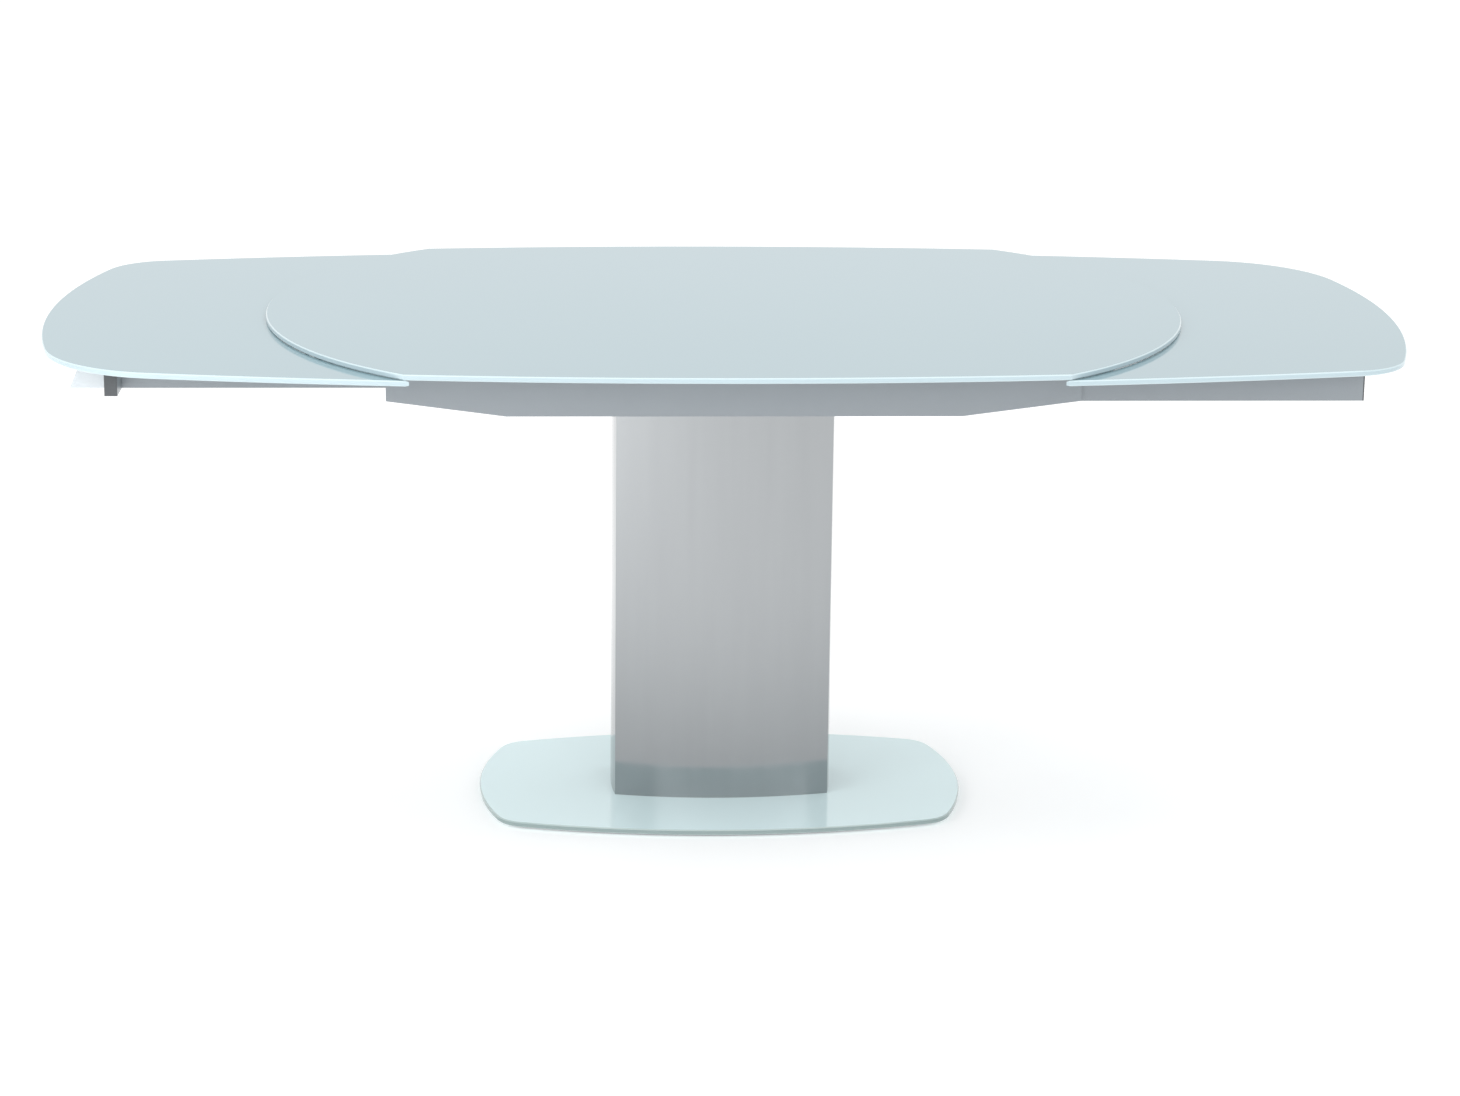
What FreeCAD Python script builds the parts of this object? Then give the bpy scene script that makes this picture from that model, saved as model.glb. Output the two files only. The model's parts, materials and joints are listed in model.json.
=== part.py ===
import FreeCAD, Part
import math
import os

V = FreeCAD.Vector

# Extendable dining table. Millimetres, +Z up, origin on the floor under the middle.
# +X runs along the table towards the right leaf, +Y towards the back.

# ---- table top ----
TOP_Z = 760.0            # height of the table top
GLASS = 8.0              # thickness of every glass panel
GLASS_ARRIS = 1.5        # small bevel round each polished edge
TOP_LENGTH = 2000.0      # both leaves out
TOP_WIDTH = 920.0
TOP_CORNER = (932.0, 370.0)   # where the long edge and the end would meet
TOP_RADII = (200.0, 100.0)    # front-left and back-right corner, then the other two
MIDDLE_END_R = 545.0     # bowed end of the middle panel
MIDDLE_END_X = 134.0     # centre of that bow from the middle of the table
TUCK = 4.0               # how far a leaf reaches under the middle panel
LEAF_DROP = 0.6          # air between the middle panel and a leaf below it

# ---- base and column ----
PAD_T = 1.0
PAD_R = 15.0
PAD_CORNERS = (250.0, 130.0)   # floor pads near the corners of the base
PAD_EDGE_Y = 170.0             # and one at the middle of each long edge
BALLAST_T = 4.0
BALLAST_INSET = 10.0
BASE_LENGTH = 738.0
BASE_WIDTH = 434.0
BASE_CORNER = (329.0, 173.0)
BASE_RADII = (50.0, 50.0)
GASKET_T = 1.0
FLANGE_T = 8.0
FLANGE_HALF = (120.0, 52.0)
FLANGE_BOLT = (100.0, 35.0)   # bolt positions from the middle
POST_HALF = (75.0, 40.0)
POST_WALL = 4.0
COLUMN_LENGTH = 336.0
COLUMN_WIDTH = 164.0
COLUMN_CORNER = (162.0, 64.0)
SHELL_T = 1.5
BOLT_R = 4.0
BOLT_HEAD_R = 6.5
BOLT_HEAD_H = 8.0
BOLT_CLEAR = 0.5
SLEEVE_R = 7.0
BOLT_SHORT = 0.5         # a bolt stops this far inside the far face
SPACER_HALF = 30.0       # half width of a shell spacer
SPACER_H = 40.0
SPACER_FROM_END = 30.0   # a spacer stands this far from the end of the post
SPACER_AIR = 2.0         # air left for the adhesive

# ---- frame ----
TUBE_WALL = 2.0
RAIL_W = 20.0
RAIL_H = 40.0
RAIL_Z = 698.0           # underside of the rails
OUTER_FACE = 338.0       # outer face of an outer rail, from the middle
INNER_FACE = 258.0       # outer face of an inner rail
RAIL_IN = 69.0           # inner end of both rails, leaf out
OUTER_RAIL_OUT = 889.0
BAR_X = (862.0, 880.0)
BAR_FREE_END = 307.0
BRACKET_OUT = 935.0
BRACKET_SLANT = 17.0
BRACKET_T = 6.0
TRAVEL = 405.0           # slide of each leaf
CAP_T = 2.0
CAP_PLUG = 12.0

APRON_FACE = 342.0
APRON_T = 2.0
APRON_TOP = 740.0
APRON_END = 487.0
APRON_KNEE = 320.0
APRON_LOW = 677.0
APRON_END_LOW = 699.0

MEMBER_X = 200.0         # cross members and riser beams
MEMBER_W = 50.0
MEMBER_Z = (674.0, 694.0)
MEMBER_REACH = 320.0
HEAD_PLATE_HALF = (232.0, 56.0)
TIE_Y = 35.0             # bolts between head plate and cross members
TIE_TIP = 4.0            # how far they stand into the tube
ANGLE_HALF = 20.0        # apron bracket: half width, thickness, height above the member's foot
ANGLE_T = 3.0
ANGLE_UP = 5.0

GUIDE_END = 452.0
STRIP_T = 2.5
RUN_GAP = 0.6            # air beside a rail
GLIDE_T = 1.2
GLIDE_GAP = 0.3          # air between rail and glide
GLIDE_X = (110.0, 430.0)
GLIDE_L = 20.0
GUIDE_LIP_H = 24.0
LEDGE_BACK = 8.0         # the floor of the outer slot stops this far short of the rail's face
ROOF_BACK = 10.0         # the roof leaves this much of the outer rail's width free
ROOF_OVER = 8.0          # and covers this much of the inner rail
BUFFER_IN = 20.0         # depth of a buffer in its tube
BUFFER_AIR = 0.5         # left between buffer and end bar when a leaf is in
STOP_X = 97.0            # inner face of the travel stop
STOP_L = 10.0
STOP_BLOCK_L = 20.0
STOP_AIR = 0.5
TAB_AIR = 1.0            # air between the stop tab and the rail under it

RISER_W = 40.0
RISER_HALF = 180.0
TOP_PLATE_T = 6.0
TOP_PLATE_WIDE = (225.0, 100.0)
TOP_PLATE_FAR = (110.0, 330.0)
DISC_R = 25.0
DISC_AT = ((185.0, 70.0), (80.0, 290.0))
RAIL_PAD_X = (600.0, 770.0)   # rubber strips on the rails, leaf out
RAIL_PAD_L = 60.0
BAR_PAD_Y = (-230.0, 0.0, 180.0)
BAR_PAD_HALF = 40.0
BAR_PAD_EDGE = 3.0
PAD_EDGE = 1.0

# heights that follow
MIDDLE_Z = TOP_Z - GLASS
LEAF_Z = MIDDLE_Z - LEAF_DROP - GLASS
RAIL_TOP = RAIL_Z + RAIL_H
BALLAST_Z = PAD_T
BASE_Z = BALLAST_Z + BALLAST_T
BASE_TOP = BASE_Z + GLASS
FOOT_Z = BASE_TOP + GASKET_T
POST_Z = FOOT_Z + FLANGE_T
HEAD_PLATE_Z = MEMBER_Z[0] - FLANGE_T
HEAD_Z = HEAD_PLATE_Z - FLANGE_T
GUIDE_FLOOR = MEMBER_Z[1] + STRIP_T
GUIDE_ROOF = RAIL_TOP + GLIDE_GAP + GLIDE_T
GUIDE_TOP = GUIDE_ROOF + STRIP_T


def export(name, shape):
    shape.exportStep("parts/" + name + ".step")


def box(x, y, z):
    """A block from three (low, high) pairs."""
    low = V(min(x), min(y), min(z))
    return Part.makeBox(abs(x[1] - x[0]), abs(y[1] - y[0]), abs(z[1] - z[0]), low)


def rod(x, y, z, radius):
    """An upright round bar between two heights."""
    return Part.makeCylinder(radius, z[1] - z[0], V(x, y, z[0]))


def group(shapes):
    return Part.makeCompound(shapes)


def turned(shape):
    """The same piece at the other end of the table: half a turn about the middle."""
    copy = shape.copy()
    copy.rotate(V(0, 0, 0), V(0, 0, 1), 180)
    return copy


def four(x, y):
    return [(sx * x, sy * y) for sx in (-1, 1) for sy in (-1, 1)]


def bow_radius(half_chord, rise):
    return (half_chord ** 2 + rise ** 2) / (2 * rise)


def fillet_centre(long_c, long_r, end_c, end_r, sx, sy):
    """Centre of a corner arc that lies inside both edge arcs."""
    gap = end_c - long_c
    d = gap.Length
    a = (d * d + long_r ** 2 - end_r ** 2) / (2 * d)
    h = math.sqrt(long_r ** 2 - a * a)
    along = gap * (1 / d)
    side = V(-along.y, along.x, 0)
    points = [long_c + along * a + side * (k * h) for k in (-1, 1)]
    return max(points, key=lambda p: sx * p.x + sy * p.y)


def oval_wire(length, width, corner, radii, z):
    """Four bowed edges. radii: corners where x and y share a sign, then the others. 0 is sharp."""
    cx, cy = corner
    long_r = bow_radius(cx, width / 2 - cy)
    end_r = bow_radius(cy, length / 2 - cx)
    ends = {}
    arcs = []
    for sx, sy in ((1, 1), (-1, 1), (-1, -1), (1, -1)):
        long_c = V(0, sy * (width / 2 - long_r), z)
        end_c = V(sx * (length / 2 - end_r), 0, z)
        r = radii[0] if sx * sy > 0 else radii[1]
        if r == 0:
            ends[sx, sy] = (V(sx * cx, sy * cy, z), V(sx * cx, sy * cy, z))
            continue
        c = fillet_centre(long_c, long_r - r, end_c, end_r - r, sx, sy)
        on_long = c + (c - long_c).normalize() * r
        on_end = c + (c - end_c).normalize() * r
        mid = c + ((on_long - c) + (on_end - c)).normalize() * r
        ends[sx, sy] = (on_long, on_end)
        arcs.append(Part.Arc(on_long, mid, on_end).toShape())
    for sy in (1, -1):
        arcs.append(Part.Arc(ends[1, sy][0], V(0, sy * width / 2, z), ends[-1, sy][0]).toShape())
    for sx in (1, -1):
        arcs.append(Part.Arc(ends[sx, 1][1], V(sx * length / 2, 0, z), ends[sx, -1][1]).toShape())
    return Part.Wire(Part.__sortEdges__(arcs))


def oval(length, width, corner, radii, z):
    """A slab or block with the oval outline between two heights."""
    face = Part.Face(oval_wire(length, width, corner, radii, z[0]))
    return face.extrude(V(0, 0, z[1] - z[0]))


def polished(slab):
    """Takes the sharp edges off the top and underside of a glass panel."""
    low = slab.BoundBox.ZMin
    high = slab.BoundBox.ZMax
    rims = []
    for edge in slab.Edges:
        flat = edge.BoundBox.ZLength < 0.01
        level = min(abs(edge.BoundBox.ZMin - low), abs(edge.BoundBox.ZMin - high))
        if flat and level < 0.01 and edge.Length > 30:
            rims.append(edge)
    return slab.makeChamfer(GLASS_ARRIS, rims)


def full_top(z):
    return oval(TOP_LENGTH, TOP_WIDTH, TOP_CORNER, TOP_RADII, z)


def inside_bow(radius, z, reach=TOP_LENGTH):
    """Everything on the table side of the right-hand bow."""
    disc = rod(MIDDLE_END_X, 0, z, radius)
    rest = box((-reach, MIDDLE_END_X), (-radius, radius), z)
    return disc.fuse(rest).removeSplitter()


# ---- glass ----
def middle_glass():
    z = (MIDDLE_Z, TOP_Z)
    bow = inside_bow(MIDDLE_END_R, z)
    slab = full_top(z).common(bow).common(turned(bow))
    return polished(slab.Solids[0])


def leaf_glass():
    z = (LEAF_Z, LEAF_Z + GLASS)
    slab = full_top(z).cut(inside_bow(MIDDLE_END_R - TUCK, z))
    return polished(slab.Solids[0])


def base_glass():
    slab = oval(BASE_LENGTH, BASE_WIDTH, BASE_CORNER, BASE_RADII, (BASE_Z, BASE_TOP))
    slab = polished(slab)
    for x, y in four(*FLANGE_BOLT):
        slab = slab.cut(rod(x, y, (BASE_Z, BASE_TOP), SLEEVE_R))
    return slab


# ---- base and column ----
def floor_pads():
    places = four(*PAD_CORNERS) + [(0, -PAD_EDGE_Y), (0, PAD_EDGE_Y)]
    return group([rod(x, y, (0, PAD_T), PAD_R) for x, y in places])


def ballast_plate():
    cut = 2 * BALLAST_INSET
    corner = (BASE_CORNER[0] - BALLAST_INSET, BASE_CORNER[1] - BALLAST_INSET)
    radii = (BASE_RADII[0] - BALLAST_INSET, BASE_RADII[1] - BALLAST_INSET)
    plate = oval(BASE_LENGTH - cut, BASE_WIDTH - cut, corner, radii, (BALLAST_Z, BASE_Z))
    for x, y in four(*FLANGE_BOLT):
        plate = plate.cut(rod(x, y, (BALLAST_Z, BASE_Z), BOLT_R))
    return plate


def bolt_sleeves():
    tubes = []
    for x, y in four(*FLANGE_BOLT):
        outer = rod(x, y, (BASE_Z, BASE_TOP), SLEEVE_R)
        tubes.append(outer.cut(rod(x, y, (BASE_Z, BASE_TOP), BOLT_R + BOLT_CLEAR)))
    return group(tubes)


def flange(z):
    """A plate with four bolt holes, at the foot or head of the post."""
    plate = box((-FLANGE_HALF[0], FLANGE_HALF[0]), (-FLANGE_HALF[1], FLANGE_HALF[1]), z)
    for x, y in four(*FLANGE_BOLT):
        plate = plate.cut(rod(x, y, z, BOLT_R + BOLT_CLEAR))
    return plate


def bolt(x, y, head, tip):
    """A bolt whose head sits at one height and whose shank ends at another."""
    far = head + BOLT_HEAD_H if head > tip else head - BOLT_HEAD_H
    top = rod(x, y, sorted((head, far)), BOLT_HEAD_R)
    return top.fuse(rod(x, y, sorted((head, tip)), BOLT_R)).removeSplitter()


def inner_post():
    z = (POST_Z, HEAD_Z)
    x, y = POST_HALF
    outer = box((-x, x), (-y, y), z)
    return outer.cut(box((POST_WALL - x, x - POST_WALL), (POST_WALL - y, y - POST_WALL), z))


def column_shell():
    z = (BASE_TOP, HEAD_PLATE_Z)
    outer = oval(COLUMN_LENGTH, COLUMN_WIDTH, COLUMN_CORNER, (0, 0), z)
    thin = 2 * SHELL_T
    corner = (COLUMN_CORNER[0] - SHELL_T, COLUMN_CORNER[1] - SHELL_T)
    inner = oval(COLUMN_LENGTH - thin, COLUMN_WIDTH - thin, corner, (0, 0), z)
    return outer.cut(inner)


def shell_spacers():
    """Blocks that hold the shell on the post, near its foot and its head."""
    face = COLUMN_WIDTH / 2 - SHELL_T
    out = face - SPACER_AIR
    blocks = []
    for low in (POST_Z + SPACER_FROM_END, HEAD_Z - SPACER_FROM_END - SPACER_H):
        for side in (-1, 1):
            depth = (side * POST_HALF[1], side * out)
            blocks.append(box((-SPACER_HALF, SPACER_HALF), depth, (low, low + SPACER_H)))
    return group(blocks)


def head_plate():
    x, y = HEAD_PLATE_HALF
    z = (HEAD_PLATE_Z, MEMBER_Z[0])
    plate = box((-x, x), (-y, y), z)
    for hx, hy in four(*FLANGE_BOLT):
        plate = plate.cut(rod(hx, hy, z, BOLT_R))
    for hx, hy in four(MEMBER_X, TIE_Y):
        plate = plate.cut(rod(hx, hy, z, BOLT_R + BOLT_CLEAR))
    return plate


# ---- top frame ----
def box_tube(x, y, z, axis, wall=TUBE_WALL):
    """A rectangular tube, open along one axis (0, 1)."""
    outer = box(x, y, z)
    hole = [[min(r) + wall, max(r) - wall] for r in (x, y, z)]
    ends = (x, y)[axis]
    hole[axis] = [min(ends), max(ends)]
    return outer.cut(box(*hole))


def cross_member(x):
    half = MEMBER_W / 2
    tube = box_tube((x - half, x + half), (-MEMBER_REACH, MEMBER_REACH), MEMBER_Z, 1)
    for y in (-TIE_Y, TIE_Y):
        tube = tube.cut(rod(x, y, (MEMBER_Z[0], MEMBER_Z[0] + TUBE_WALL), BOLT_R))
    return tube


def apron():
    outline = [
        V(-APRON_END, -APRON_FACE, APRON_TOP),
        V(APRON_END, -APRON_FACE, APRON_TOP),
        V(APRON_END, -APRON_FACE, APRON_END_LOW),
        V(APRON_KNEE, -APRON_FACE, APRON_LOW),
        V(-APRON_KNEE, -APRON_FACE, APRON_LOW),
        V(-APRON_END, -APRON_FACE, APRON_END_LOW),
    ]
    outline.append(outline[0])
    return Part.Face(Part.makePolygon(outline)).extrude(V(0, APRON_T, 0))


def apron_brackets():
    """An angle at each end of each cross member, against the inside of the apron."""
    inside = APRON_FACE - APRON_T
    low = MEMBER_Z[0] + ANGLE_UP
    angles = []
    for x in (-MEMBER_X, MEMBER_X):
        for side in (-1, 1):
            wide = (x - ANGLE_HALF, x + ANGLE_HALF)
            foot = box(wide, (side * MEMBER_REACH, side * inside), (low, low + ANGLE_T))
            face = box(wide, (side * (inside - ANGLE_T), side * inside), (low, MEMBER_Z[1]))
            angles.append(foot.fuse(face).removeSplitter())
    return group(angles)


TUBE_FACES = (OUTER_FACE - RAIL_W - RUN_GAP, INNER_FACE + RUN_GAP)
LIP_OUT = INNER_FACE - RAIL_W - RUN_GAP
LIP_IN = LIP_OUT - TUBE_WALL
LEDGE_OUT = OUTER_FACE - LEDGE_BACK
ROOF_OUT = OUTER_FACE - ROOF_BACK
ROOF_IN = INNER_FACE - ROOF_OVER


def guide_base():
    return box((-GUIDE_END, GUIDE_END), (-LEDGE_OUT, -LIP_IN), (MEMBER_Z[1], GUIDE_FLOOR))


def guide_tube():
    y = (-TUBE_FACES[0], -TUBE_FACES[1])
    return box_tube((-GUIDE_END, GUIDE_END), y, (GUIDE_FLOOR, GUIDE_ROOF), 0)


def guide_cap():
    return box((-GUIDE_END, GUIDE_END), (-ROOF_OUT, -ROOF_IN), (GUIDE_ROOF, GUIDE_TOP))


def guide_lip():
    z = (GUIDE_FLOOR, GUIDE_FLOOR + GUIDE_LIP_H)
    return box((-GUIDE_END, GUIDE_END), (-LIP_OUT, -LIP_IN), z)


def glides():
    """Nylon pads under and over the rails in the front guide."""
    low = (GUIDE_FLOOR, GUIDE_FLOOR + GLIDE_T)
    high = (GUIDE_ROOF - GLIDE_T, GUIDE_ROOF)
    pads = []
    for x in GLIDE_X:
        right = (x, x + GLIDE_L)
        left = (-x - GLIDE_L, -x)
        pads.append(box(right, (-LEDGE_OUT, -TUBE_FACES[0]), low))
        pads.append(box(right, (-ROOF_OUT, -TUBE_FACES[0]), high))
        pads.append(box(left, (-TUBE_FACES[1], -LIP_OUT), low))
        pads.append(box(left, (-TUBE_FACES[1], -ROOF_IN), high))
    return pads


def end_buffers():
    """Rubber plugs in the ends of the front guide tube, which the end bars meet."""
    y = (-TUBE_FACES[0] + TUBE_WALL, -TUBE_FACES[1] - TUBE_WALL)
    z = (GUIDE_FLOOR + TUBE_WALL, GUIDE_ROOF - TUBE_WALL)
    proud = BAR_X[0] - TRAVEL - BUFFER_AIR
    return [box((side * (GUIDE_END - BUFFER_IN), side * proud), y, z) for side in (-1, 1)]


def stop_tab():
    """A block beside the front guide's roof that ends the right leaf's outward travel."""
    return box((STOP_X, STOP_X + STOP_L), (-OUTER_FACE, -ROOF_OUT), (RAIL_TOP + TAB_AIR, GUIDE_TOP))


def riser(x):
    half = RISER_W / 2
    z = (MEMBER_Z[1], LEAF_Z)
    return box_tube((x - half, x + half), (-RISER_HALF, RISER_HALF), z, 1)


def top_plate():
    (wx, wy), (fx, fy) = TOP_PLATE_WIDE, TOP_PLATE_FAR
    ring = [(wx, -wy), (wx, wy), (fx, fy), (-fx, fy), (-wx, wy), (-wx, -wy), (-fx, -fy), (fx, -fy)]
    points = [V(x, y, LEAF_Z) for x, y in ring]
    points.append(points[0])
    return Part.Face(Part.makePolygon(points)).extrude(V(0, 0, TOP_PLATE_T))


def discs():
    """Bonded discs between the top plate and the middle panel."""
    z = (LEAF_Z + TOP_PLATE_T, MIDDLE_Z)
    return group([rod(x, y, z, DISC_R) for at in DISC_AT for x, y in four(*at)])


# ---- one leaf: the right-hand one ----
def capped(low, high):
    return (low + CAP_T, high - CAP_T)


def outer_rail():
    x = capped(RAIL_IN, OUTER_RAIL_OUT)
    return box_tube(x, (-OUTER_FACE, RAIL_W - OUTER_FACE), (RAIL_Z, RAIL_TOP), 0)


def inner_rail():
    x = (RAIL_IN + CAP_T, BAR_X[0])
    return box_tube(x, (INNER_FACE - RAIL_W, INNER_FACE), (RAIL_Z, RAIL_TOP), 0)


def end_bar():
    y = (RAIL_W - OUTER_FACE, BAR_FREE_END - CAP_T)
    return box_tube(BAR_X, y, (RAIL_Z, RAIL_TOP), 1)


def bracket():
    """A plate past the end bar, its end cut at a slant, under the overhang of the glass."""
    y = INNER_FACE - BRACKET_T
    outline = [
        V(BAR_X[1], y, RAIL_Z),
        V(BRACKET_OUT, y, RAIL_Z),
        V(BRACKET_OUT - BRACKET_SLANT, y, RAIL_TOP),
        V(BAR_X[1], y, RAIL_TOP),
        V(BAR_X[1], y, RAIL_Z),
    ]
    return Part.Face(Part.makePolygon(outline)).extrude(V(0, BRACKET_T, 0))


def cap(x, y, z, axis, side):
    """A plastic plug with a flange, in the end of a tube. The ranges are the flange's."""
    plate = box(x, y, z)
    plug = [[min(r) + TUBE_WALL, max(r) - TUBE_WALL] for r in (x, y, z)]
    face = max((x, y)[axis]) if side > 0 else min((x, y)[axis])
    plug[axis] = [face, face + side * CAP_PLUG]
    return plate.fuse(box(*plug)).removeSplitter()


def leaf_caps():
    z = (RAIL_Z, RAIL_TOP)
    outer = (-OUTER_FACE, RAIL_W - OUTER_FACE)
    inner = (INNER_FACE - RAIL_W, INNER_FACE)
    start = (RAIL_IN, RAIL_IN + CAP_T)
    finish = (OUTER_RAIL_OUT - CAP_T, OUTER_RAIL_OUT)
    return group([
        cap(start, outer, z, 0, 1),
        cap(finish, outer, z, 0, -1),
        cap(start, inner, z, 0, 1),
        cap(BAR_X, (BAR_FREE_END - CAP_T, BAR_FREE_END), z, 1, -1),
    ])


def leaf_pads():
    """Bonded rubber strips between the leaf's frame and its glass."""
    z = (RAIL_TOP, LEAF_Z)
    outer = (-OUTER_FACE + PAD_EDGE, -ROOF_OUT - PAD_EDGE)
    inner = (INNER_FACE - RAIL_W + PAD_EDGE, ROOF_IN - PAD_EDGE)
    across = (BAR_X[0] + BAR_PAD_EDGE, BAR_X[1] - BAR_PAD_EDGE)
    pads = []
    for x in RAIL_PAD_X:
        pads.append(box((x, x + RAIL_PAD_L), outer, z))
        pads.append(box((x, x + RAIL_PAD_L), inner, z))
    for y in BAR_PAD_Y:
        pads.append(box(across, (y - BAR_PAD_HALF, y + BAR_PAD_HALF), z))
    return group(pads)


def stop_block():
    """A block on the outer rail that meets the stop tab."""
    x = (STOP_X - STOP_AIR - STOP_BLOCK_L, STOP_X - STOP_AIR)
    return box(x, (-OUTER_FACE, -ROOF_OUT - STOP_AIR), (RAIL_TOP, GUIDE_TOP - STOP_AIR))


def build_base():
    export("floor_pads", floor_pads())
    export("base_ballast_plate", ballast_plate())
    export("base_glass", base_glass())
    export("base_bolt_sleeves", bolt_sleeves())
    export("foot_gasket", flange((BASE_TOP, FOOT_Z)))
    export("foot_flange", flange((FOOT_Z, POST_Z)))
    foot = [bolt(x, y, POST_Z, BALLAST_Z + BOLT_SHORT) for x, y in four(*FLANGE_BOLT)]
    export("foot_bolts", group(foot))
    export("inner_post", inner_post())
    export("shell_spacers", shell_spacers())
    export("column_shell", column_shell())
    export("head_flange", flange((HEAD_Z, HEAD_PLATE_Z)))
    export("head_plate", head_plate())
    head = [bolt(x, y, HEAD_Z, MEMBER_Z[0] - BOLT_SHORT) for x, y in four(*FLANGE_BOLT)]
    export("head_bolts", group(head))


def build_frame():
    tip = MEMBER_Z[0] + TUBE_WALL + TIE_TIP
    ties = [bolt(x, y, HEAD_PLATE_Z, tip) for x, y in four(MEMBER_X, TIE_Y)]
    export("cross_member_bolts", group(ties))
    for name, x in (("left", -MEMBER_X), ("right", MEMBER_X)):
        export(name + "_cross_member", cross_member(x))
        export(name + "_riser_beam", riser(x))
    export("apron_brackets", apron_brackets())
    export("front_apron", apron())
    export("back_apron", turned(apron()))
    pieces = (("base", guide_base()), ("tube", guide_tube()), ("cap", guide_cap()), ("lip", guide_lip()))
    for name, shape in pieces:
        export("front_guide_" + name, shape)
        export("back_guide_" + name, turned(shape))
    pads = glides()
    export("guide_glides", group(pads + [turned(p) for p in pads]))
    plugs = end_buffers()
    export("guide_end_buffers", group(plugs + [turned(p) for p in plugs]))
    export("travel_stop_tabs", group([stop_tab(), turned(stop_tab())]))
    export("top_plate", top_plate())
    export("middle_glass_discs", discs())
    export("middle_glass", middle_glass())


def build_leaves():
    pieces = (
        ("glass", leaf_glass()),
        ("outer_rail", outer_rail()),
        ("inner_rail", inner_rail()),
        ("end_bar", end_bar()),
        ("bracket", bracket()),
        ("tube_caps", leaf_caps()),
        ("glass_pads", leaf_pads()),
        ("stop_block", stop_block()),
    )
    for name, shape in pieces:
        export("right_leaf_" + name, shape)
        export("left_leaf_" + name, turned(shape))


os.makedirs("parts", exist_ok=True)
build_base()
build_frame()
build_leaves()
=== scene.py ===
import json
import math
import bpy
import bmesh
from mathutils import Matrix, Vector

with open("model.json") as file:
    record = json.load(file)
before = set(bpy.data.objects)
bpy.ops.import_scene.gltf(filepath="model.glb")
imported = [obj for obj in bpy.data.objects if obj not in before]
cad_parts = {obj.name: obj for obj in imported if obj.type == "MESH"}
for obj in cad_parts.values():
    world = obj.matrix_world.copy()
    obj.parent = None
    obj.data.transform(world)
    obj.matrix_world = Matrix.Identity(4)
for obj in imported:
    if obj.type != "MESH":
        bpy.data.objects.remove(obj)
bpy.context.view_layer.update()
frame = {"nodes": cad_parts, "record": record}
nodes = frame["nodes"]
SLOT_OF = {row["node"]: row["material_slot"] for row in frame["record"]["subparts"]}

# ---------------------------------------------------------------- camera
# the photographed view: the table from the front, at standing height
CAMERA_AT = (-0.2387, -4.8663, 1.8198)
CAMERA_RIGHT = Vector((0.998772, -0.048248, 0.011227))
CAMERA_FORWARD = Vector((0.049536, 0.971475, -0.231911))
LENS = 82.3
SENSOR = 36.0
SHIFT_Y = -0.12
CLIP_END = 60.0

cam_data = bpy.data.cameras.new("camera")
cam = bpy.data.objects.new("camera", cam_data)
bpy.context.scene.collection.objects.link(cam)
side = CAMERA_RIGHT.normalized()
back = -CAMERA_FORWARD.normalized()
up = back.cross(side).normalized()
turn = Matrix((side, up, back)).transposed().to_4x4()
cam.matrix_world = Matrix.Translation(CAMERA_AT) @ turn
cam_data.lens = LENS
cam_data.sensor_width = SENSOR
cam_data.shift_y = SHIFT_Y
cam_data.clip_end = CLIP_END
bpy.context.scene.camera = cam


# ---------------------------------------------------------------- node helpers
NOISE_LOW = 0.35     # most of a noise texture lies between these two
NOISE_HIGH = 0.65
MIX_COLOUR_A = 6     # a colour mix node's sockets, by number, because their names repeat
MIX_COLOUR_B = 7
MIX_COLOUR_OUT = 2


class Mat:
    """A material with a Principled shader, and short calls for the nodes that feed it."""

    def __init__(self, name, **sockets):
        self.mat = bpy.data.materials.new(name)
        self.mat.use_nodes = True
        self.tree = self.mat.node_tree
        self.shader = self.tree.nodes["Principled BSDF"]
        for key, value in sockets.items():
            self.shader.inputs[key.replace("_", " ")].default_value = value

    def node(self, kind, **values):
        made = self.tree.nodes.new(kind)
        for key, value in values.items():
            if key in made.inputs:
                made.inputs[key].default_value = value
            else:
                setattr(made, key, value)
        return made

    def link(self, out, into):
        self.tree.links.new(out, into)

    def place(self, scale):
        """Object coordinates, stretched."""
        coords = self.node("ShaderNodeTexCoord")
        mapping = self.node("ShaderNodeMapping")
        mapping.inputs["Scale"].default_value = scale
        self.link(coords.outputs["Object"], mapping.inputs["Vector"])
        return mapping.outputs["Vector"]

    def noise(self, scale, detail=3.0, stretch=(1, 1, 1)):
        made = self.node("ShaderNodeTexNoise", Scale=scale, Detail=detail)
        self.link(self.place(stretch), made.inputs["Vector"])
        return made.outputs["Fac"]

    def ramp(self, source, low, high, socket):
        """Spreads a noise over the range low..high on a shader's number socket."""
        made = self.node("ShaderNodeMapRange")
        made.inputs["From Min"].default_value = NOISE_LOW
        made.inputs["From Max"].default_value = NOISE_HIGH
        made.inputs["To Min"].default_value = low
        made.inputs["To Max"].default_value = high
        self.link(source, made.inputs["Value"])
        self.link(made.outputs["Result"], self.shader.inputs[socket])

    def mix(self, factor, one, two):
        """Colour mix of two colours (or node outputs) by a factor output."""
        made = self.node("ShaderNodeMix", data_type="RGBA")
        self.link(factor, made.inputs["Factor"])
        for value, slot in ((one, MIX_COLOUR_A), (two, MIX_COLOUR_B)):
            if isinstance(value, tuple):
                made.inputs[slot].default_value = value
            else:
                self.link(value, made.inputs[slot])
        return made.outputs[MIX_COLOUR_OUT]

    def bump(self, source, distance, strength):
        """Lets a grey value raise the surface by up to distance, in metres."""
        made = self.node("ShaderNodeBump", Distance=distance, Strength=strength)
        self.link(source, made.inputs["Height"])
        self.link(made.outputs["Normal"], self.shader.inputs["Normal"])


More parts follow.
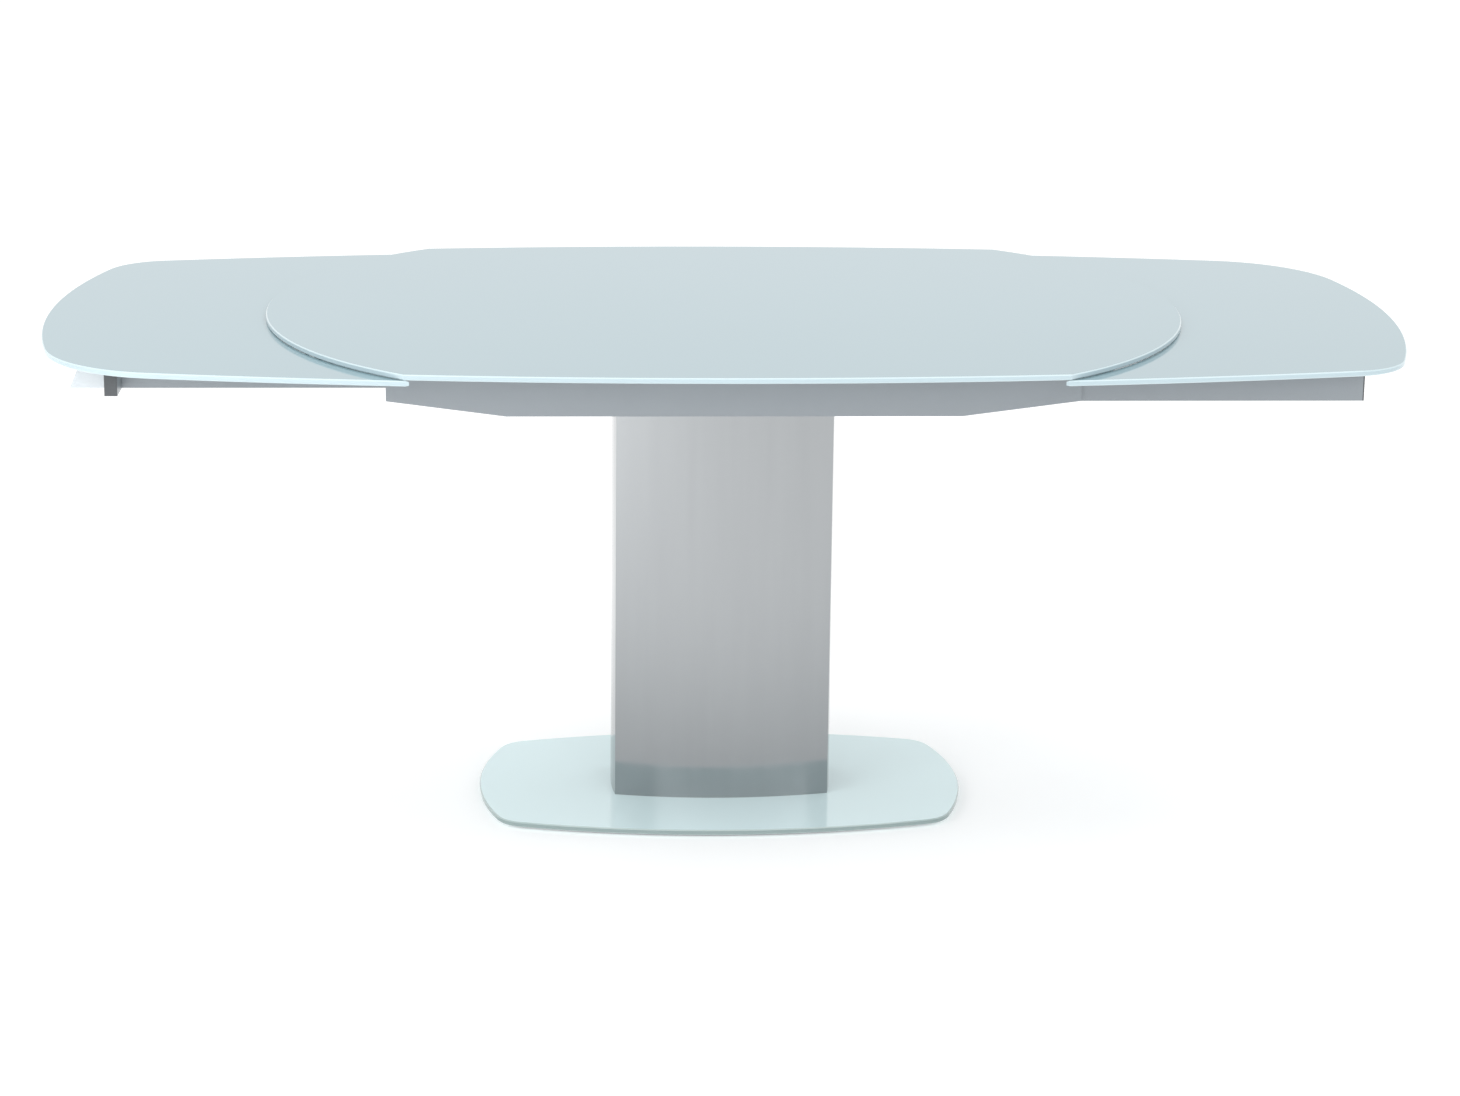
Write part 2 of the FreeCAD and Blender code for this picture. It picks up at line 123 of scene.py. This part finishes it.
def rgb(r, g, b):
    """An sRGB colour, 0 to 255, as linear light."""
    def linear(v):
        v = v / 255
        return v / 12.92 if v <= 0.04045 else ((v + 0.055) / 1.055) ** 2.4
    return (linear(r), linear(g), linear(b), 1.0)


def darker(colour, factor):
    return tuple(c * factor for c in colour[:3]) + (1.0,)


# ---------------------------------------------------------------- materials
FACE_TILT = 0.9      # a glass surface whose normal has more height than this is a face
BEVEL_TILT = 0.35    # and one with more than this, a bevel; the rest is the upright edge


def lacquered_glass(name, face, edge, bevel):
    """Clear glass over a flat lacquer. The edge and the bevel carry the glass's edge tint with
    painted light: the up-tilted bevel is painted lighter than the upright edge.
    """
    m = Mat(name, IOR=1.5, Coat_Weight=0.5, Coat_Roughness=0.015)
    geometry = m.node("ShaderNodeNewGeometry")
    split = m.node("ShaderNodeSeparateXYZ")
    m.link(geometry.outputs["True Normal"], split.inputs["Vector"])
    tilt = m.node("ShaderNodeMath", operation="ABSOLUTE")
    m.link(split.outputs["Z"], tilt.inputs[0])
    on_bevel = m.node("ShaderNodeMath", operation="GREATER_THAN")
    on_bevel.inputs[1].default_value = BEVEL_TILT
    on_face = m.node("ShaderNodeMath", operation="GREATER_THAN")
    on_face.inputs[1].default_value = FACE_TILT
    m.link(tilt.outputs[0], on_bevel.inputs[0])
    m.link(tilt.outputs[0], on_face.inputs[0])
    lacquer = m.mix(m.noise(1.7, 2.0), darker(face, 0.96), face)
    # painted highlight: the rim colour is picked by tilt, so the bevel is painted lighter than
    # the upright edge
    rim_tint_and_highlight = m.mix(on_bevel.outputs[0], edge, bevel)
    m.link(m.mix(on_face.outputs[0], rim_tint_and_highlight, lacquer), m.shader.inputs["Base Color"])
    m.ramp(m.noise(3.0, 4.0), 0.04, 0.09, "Roughness")
    return m.mat


def painted(name, colour, metallic=0.35, rough=(0.30, 0.38)):
    """Satin metallic paint with a fine flake and slight orange peel."""
    m = Mat(name, Metallic=metallic, IOR=1.45, Coat_Weight=0.15, Coat_Roughness=0.2)
    flake = m.mix(m.noise(900.0, 2.0), darker(colour, 0.93), colour)
    m.link(flake, m.shader.inputs["Base Color"])
    m.ramp(m.noise(40.0, 4.0), rough[0], rough[1], "Roughness")
    m.bump(m.noise(350.0, 2.0), 0.00008, 0.25)
    return m.mat


def polished_steel(name):
    """Mirror-polished sheet: faint upright polishing lines and a very slight waviness."""
    m = Mat(name, Metallic=1.0)
    dull = rgb(153, 156, 158)
    bright = rgb(158, 161, 163)
    lines = m.mix(m.noise(60.0, 3.0, (1, 1, 0.05)), dull, bright)
    m.link(lines, m.shader.inputs["Base Color"])
    m.ramp(m.noise(30.0, 4.0, (1, 1, 0.08)), 0.10, 0.15, "Roughness")
    m.bump(m.noise(1.6, 1.0), 0.002, 0.06)
    return m.mat


def plain(name, colour, rough, metallic=0.0, grain=200.0):
    """Moulded plastic, rubber, mill aluminium or zinc: a mottled colour and a fine grain."""
    m = Mat(name, Metallic=metallic)
    mottle = m.mix(m.noise(grain, 3.0), darker(colour, 0.85), colour)
    m.link(mottle, m.shader.inputs["Base Color"])
    m.ramp(m.noise(grain / 4, 3.0), rough - 0.06, rough + 0.06, "Roughness")
    m.bump(m.noise(grain * 2, 2.0), 0.0001, 0.3)
    return m.mat


MATERIALS = {
    # Both glasses: the edge and bevel colours are the glass's edge tint plus painted light, with
    # the up-tilted bevel painted lighter than the upright edge
    "lacquered_glass": lacquered_glass(
        "lacquered_glass",
        face=rgb(128, 155, 163),
        edge=rgb(176, 195, 202),
        bevel=rgb(190, 208, 213),
    ),
    "base_glass": lacquered_glass(
        "base_glass",
        face=rgb(224, 246, 248),
        edge=rgb(138, 155, 154),
        bevel=rgb(170, 187, 185),
    ),
    "polished_steel": polished_steel("polished_steel"),
    "satin_paint": painted("satin_paint", rgb(143, 149, 154)),
    # bracket_paint is the satin paint made paler: painted light, for the leaf brackets that
    # catch the light from the left
    "bracket_paint": painted("bracket_paint", rgb(206, 212, 216)),
    "frame_steel": painted("frame_steel", rgb(150, 154, 158), 0.2, (0.42, 0.52)),
    "guide_aluminium": plain("guide_aluminium", rgb(190, 192, 195), 0.36, 1.0, 120.0),
    "nylon": plain("nylon", rgb(84, 87, 90), 0.48),
    "rubber": plain("rubber", rgb(38, 38, 39), 0.75),
    "bolt_steel": plain("bolt_steel", rgb(172, 172, 168), 0.32, 1.0, 400.0),
}

# ---------------------------------------------------------------- the CAD pieces
SHARP_ANGLE = math.radians(40)
# how far the sharp edges of each material are rounded, in metres
ROUNDED = {
    "satin_paint": 0.0008,
    "bracket_paint": 0.0008,
    "frame_steel": 0.0008,
    "guide_aluminium": 0.0004,
    "bolt_steel": 0.0006,
    "nylon": 0.0004,
}
for name, obj in nodes.items():
    obj.data.materials.clear()
    slot = SLOT_OF[name]
    obj.data.materials.append(MATERIALS[slot])
    if slot in ROUNDED:
        bevel = obj.modifiers.new("edges", "BEVEL")
        bevel.width = ROUNDED[slot]
        bevel.segments = 2
        bevel.limit_method = "ANGLE"
        bevel.angle_limit = SHARP_ANGLE
        bevel.harden_normals = True

# ---------------------------------------------------------------- floor and light
FLOOR_HALF = 30.0
FLOOR_Z = -0.0002    # just under the floor pads
PAPER_GLOW = 0.30    # keeps the paper white right up to the base

floor_mesh = bpy.data.meshes.new("floor")
sheet = bmesh.new()
corners = [(-1, -1), (1, -1), (1, 1), (-1, 1)]
sheet.faces.new([sheet.verts.new((x * FLOOR_HALF, y * FLOOR_HALF, FLOOR_Z)) for x, y in corners])
sheet.to_mesh(floor_mesh)
sheet.free()
floor = bpy.data.objects.new("floor", floor_mesh)
bpy.context.scene.collection.objects.link(floor)
paper = Mat("floor_paper", Roughness=0.85)
paper.shader.inputs["Emission Color"].default_value = (1, 1, 1, 1)
paper.shader.inputs["Emission Strength"].default_value = PAPER_GLOW
paper_tone = paper.mix(paper.noise(6.0), rgb(226, 226, 226), rgb(230, 230, 230))
paper.link(paper_tone, paper.shader.inputs["Base Color"])
floor_mesh.materials.append(paper.mat)


def area_light(name, at, aim, size, power):
    """A white rectangular softbox at one point, facing another."""
    data = bpy.data.lights.new(name, "AREA")
    data.shape = "RECTANGLE"
    data.size, data.size_y = size
    data.energy = power
    obj = bpy.data.objects.new(name, data)
    bpy.context.scene.collection.objects.link(obj)
    obj.location = at
    obj.rotation_euler = (Vector(aim) - Vector(at)).to_track_quat("-Z", "Y").to_euler()


area_light("overhead", at=(0.0, 0.3, 3.6), aim=(0, 0, 0.5), size=(5.0, 4.0), power=60)
# Faces the floor at the front left. The column mirrors that patch, which lights its left side.
area_light("floor_glow", at=(-2.6, -2.4, 1.6), aim=(-2.6, -2.399, 0), size=(2.4, 2.4), power=62)
area_light("front_fill", at=(0.5, -5.0, 3.0), aim=(0, 0, 0.3), size=(4.0, 2.0), power=45)

world = bpy.data.worlds.new("studio")
world.use_nodes = True
background = world.node_tree.nodes["Background"]
background.inputs["Color"].default_value = (1, 1, 1, 1)
background.inputs["Strength"].default_value = 1.0
bpy.context.scene.world = world
bpy.context.scene.view_settings.view_transform = "Standard"
